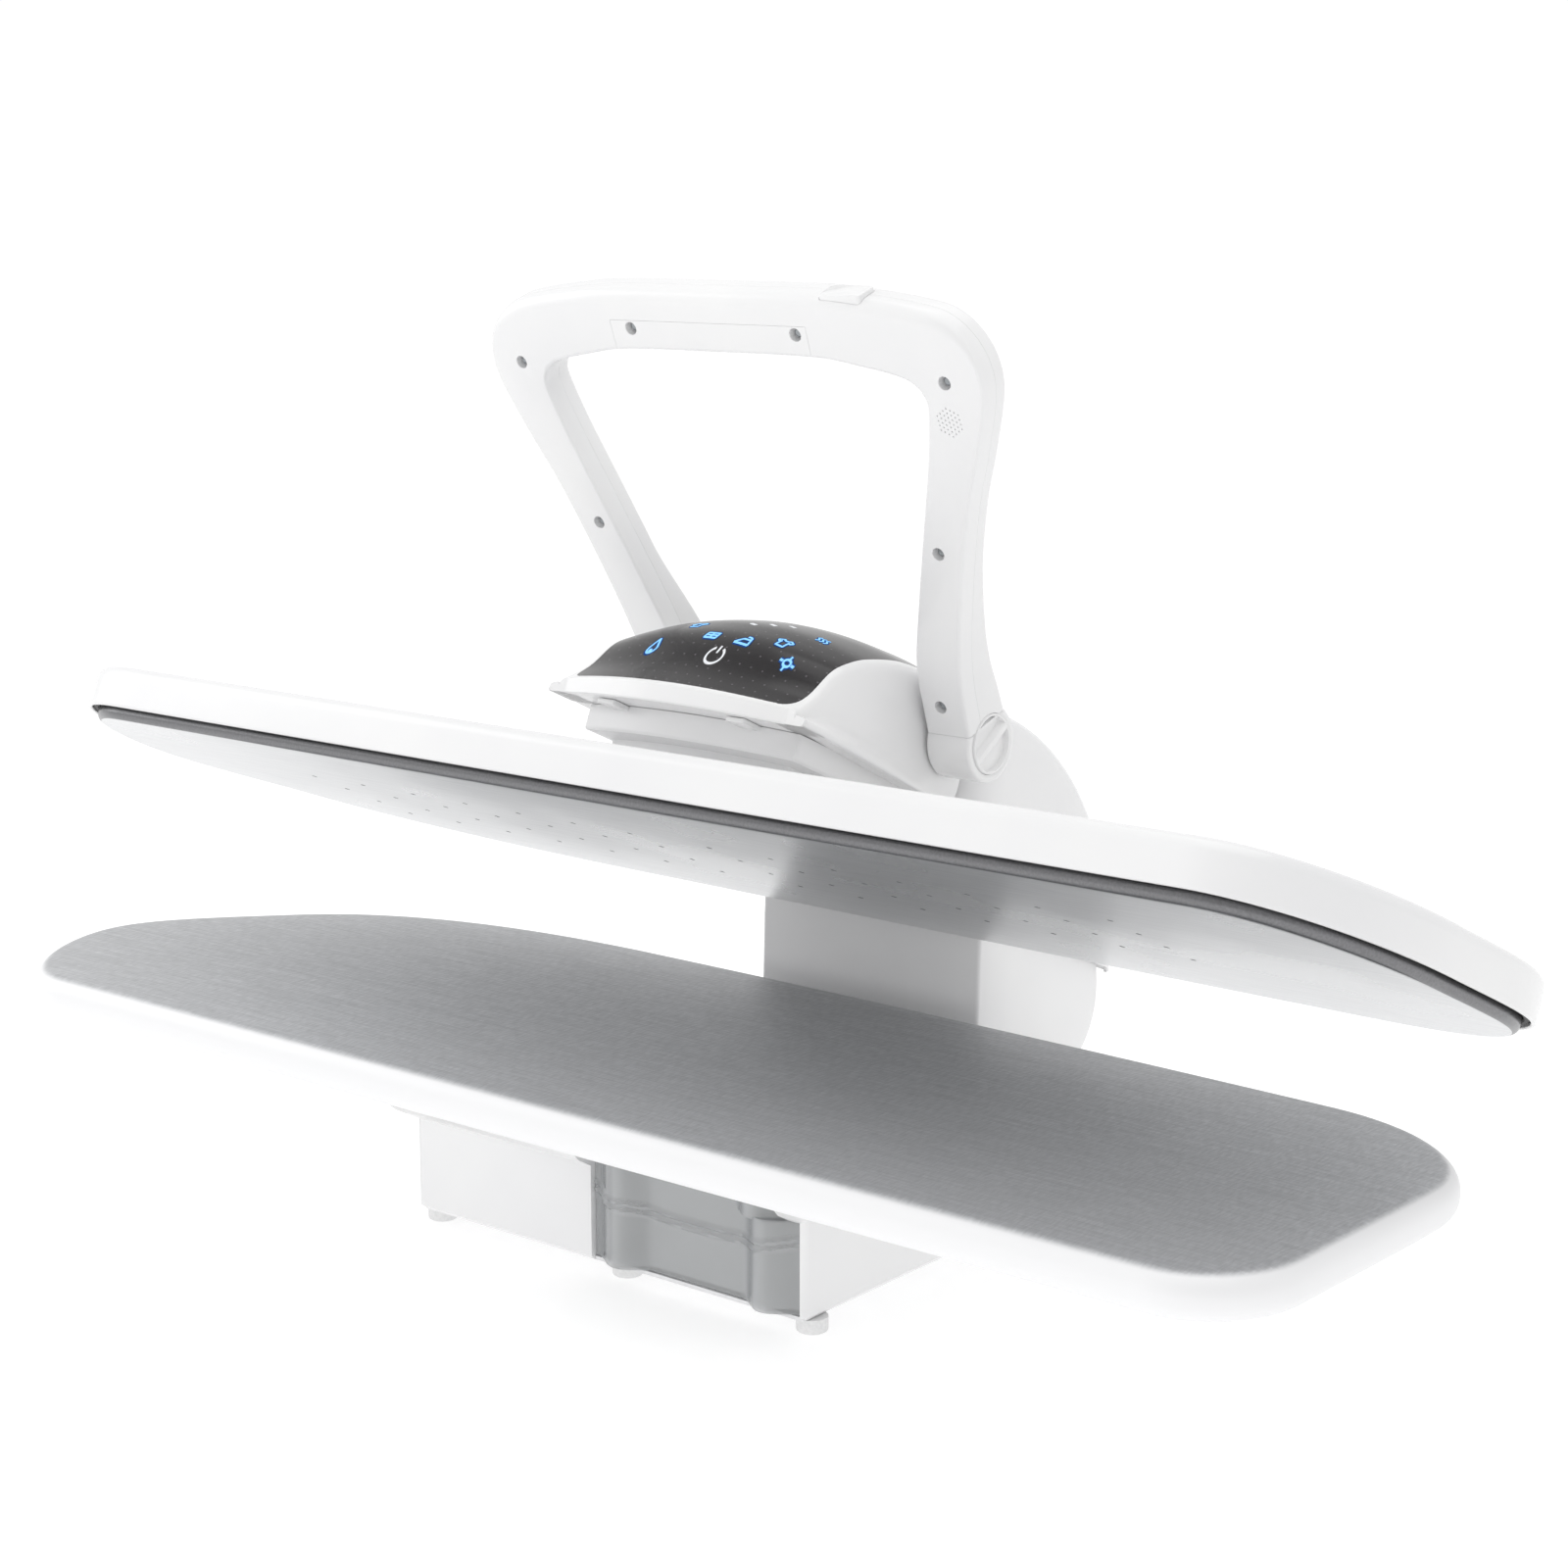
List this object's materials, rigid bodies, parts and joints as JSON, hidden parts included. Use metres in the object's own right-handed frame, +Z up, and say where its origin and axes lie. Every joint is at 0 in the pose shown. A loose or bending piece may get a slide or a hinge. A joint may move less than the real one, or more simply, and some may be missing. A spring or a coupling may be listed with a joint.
{
  "type": "steam ironing press",
  "caption": "Table-top steam ironing press, open, with a padded board, hinged steam sole, bowed folding handle and slide-out water tank.",
  "frame": {"origin": "on the table, under the middle of the press's outer box, with the head open", "axes": "+X along the board towards its square end, +Y from the user's side to the hinge column, +Z up"},
  "size_m": [1.012, 0.5198, 0.5952],
  "materials": {
    "white_abs": "moulded white ABS, glossy",
    "inner_plastic": "moulded white plastic, satin",
    "clear_plastic": "clear smoky polycarbonate, polished",
    "panel_glass": "black back-printed glass, polished",
    "black_rubber": "black silicone rubber, matt",
    "grey_rubber": "pale grey rubber, matt",
    "black_plastic": "black plastic, satin",
    "sole_aluminium": "cast aluminium, ground and coated, satin",
    "cast_aluminium": "cast aluminium, as cast",
    "zinc_steel": "zinc-plated pressed steel, satin",
    "brass": "turned brass and sintered bronze",
    "fuse_ceramic": "white ceramic, matt",
    "circuit_board": "glass-fibre board with green lacquer",
    "silver_cloth": "silver metallised cotton cloth, fine weave, satin",
    "foam": "open-cell foam felt, matt"
  },
  "bodies": {
    "base": {"base_housing": "white_abs", "base_bottom_plate": "inner_plastic", "foot_front_left": "grey_rubber", "foot_front_middle": "grey_rubber", "foot_front_right": "grey_rubber", "foot_rear_left": "grey_rubber", "foot_rear_right": "grey_rubber", "valve_dock": "black_rubber", "pump_cradle": "inner_plastic", "steam_pump": "brass", "power_board": "circuit_board", "mains_gland": "inner_plastic", "column_shell": "white_abs", "hinge_bracket_left": "zinc_steel", "hinge_bracket_right": "zinc_steel", "hinge_shaft": "zinc_steel", "open_stop_bar": "zinc_steel", "torsion_spring_left": "zinc_steel", "torsion_spring_right": "zinc_steel", "board_tray": "inner_plastic", "board_foam_pad": "foam", "board_cover": "silver_cloth"},
    "tank": {"water_tank": "clear_plastic", "tank_lid": "clear_plastic", "tank_cap": "grey_rubber", "tank_valve": "inner_plastic"},
    "head": {"head_arm": "zinc_steel", "hinge_bush_left": "brass", "hinge_bush_right": "brass", "head_housing": "white_abs", "sole_plate": "sole_aluminium", "sole_gasket": "black_rubber", "steam_chamber_cover": "cast_aluminium", "heating_element": "zinc_steel", "thermostat": "brass", "thermal_fuse": "fuse_ceramic", "head_frame": "zinc_steel", "hood_shell": "white_abs", "touch_panel_glass": "panel_glass", "hood_pedestal": "white_abs", "control_board": "circuit_board", "rear_cover": "white_abs", "handle_pin_left": "zinc_steel", "handle_pin_right": "zinc_steel"},
    "handle": {"handle_front_shell": "white_abs", "handle_rear_shell": "white_abs", "grip_insert": "white_abs", "knuckle_left": "white_abs", "knuckle_right": "white_abs", "beeper": "black_plastic"},
    "steam_key": {"steam_button": "white_abs"},
    "knob_left": {"lock_knob_left": "white_abs"},
    "knob_right": {"lock_knob_right": "white_abs"}
  },
  "joints": [
    {"name": "head_hinge", "type": "hinge", "parent": "base", "child": "head", "pos_m": [-0.002, 0.15111, 0.113], "axis": [1, 0, 0], "range_deg": [0, 24.5], "stiffness_Nm_per_rad": 14, "springref_deg": -80.21},
    {"name": "handle_fold", "type": "hinge", "parent": "head", "child": "handle", "pos_m": [-0.002, 0.05131, 0.31311], "axis": [1, 0, 0], "range_deg": [0, 45]},
    {"name": "steam_press", "type": "slide", "parent": "handle", "child": "steam_key", "axis": [0, 0.342, -0.9397], "range_m": [0, 0.003], "stiffness_N_per_m": 400, "springref_m": -0.0008},
    {"name": "knob_turn_left", "type": "hinge", "parent": "handle", "child": "knob_left", "pos_m": [-0.128, 0.05131, 0.31311], "axis": [-1, 0, 0], "range_deg": [0, 90]},
    {"name": "knob_turn_right", "type": "hinge", "parent": "handle", "child": "knob_right", "pos_m": [0.124, 0.05131, 0.31311], "axis": [1, 0, 0], "range_deg": [0, 90]},
    {"name": "tank_slide", "type": "slide", "parent": "base", "child": "tank", "axis": [0, -1, 0], "range_m": [0, 0.15]}
  ]
}
